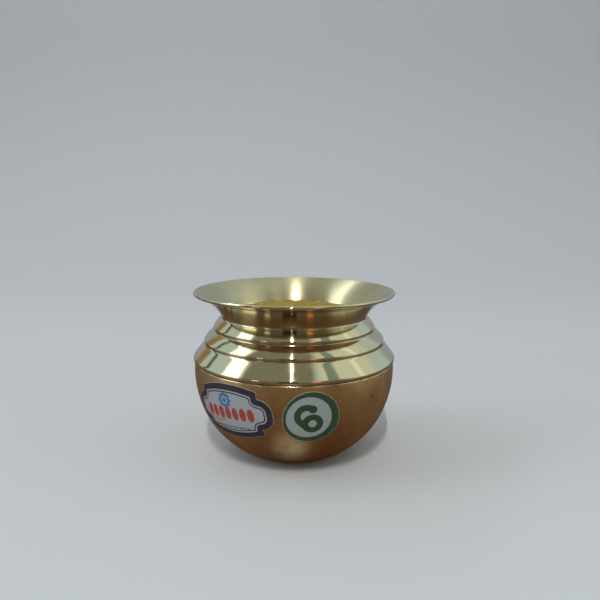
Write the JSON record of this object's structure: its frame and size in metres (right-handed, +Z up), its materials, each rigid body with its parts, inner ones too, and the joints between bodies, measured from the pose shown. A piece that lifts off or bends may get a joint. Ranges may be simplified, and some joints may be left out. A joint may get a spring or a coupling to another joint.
{
  "type": "kalash water pot",
  "caption": "Small brass water pot with a wide flared mouth, stepped ribs under the neck, a polished shoulder and a round satin bowl with paper labels.",
  "frame": {"origin": "centre of the foot ring, on the plane the pot stands on", "axes": "+Z up along the pot's axis of revolution; the labels face -Y"},
  "size_m": [0.1014, 0.1014, 0.082],
  "materials": {
    "polished_brass": "lathe-polished to a mirror, with fine turning lines",
    "satin_brass": "satin, lightly tarnished brown-gold",
    "braze_filler": "dull brazing filler",
    "plaque_paper": "printed paper sticker with a semi-gloss varnish",
    "size_paper": "printed paper sticker with a semi-gloss varnish"
  },
  "bodies": {
    "root": {"upper_shell": "polished_brass", "lower_bowl": "satin_brass", "seam_braze": "braze_filler", "plaque_label": "plaque_paper", "size_label": "size_paper"}
  },
  "joints": []
}
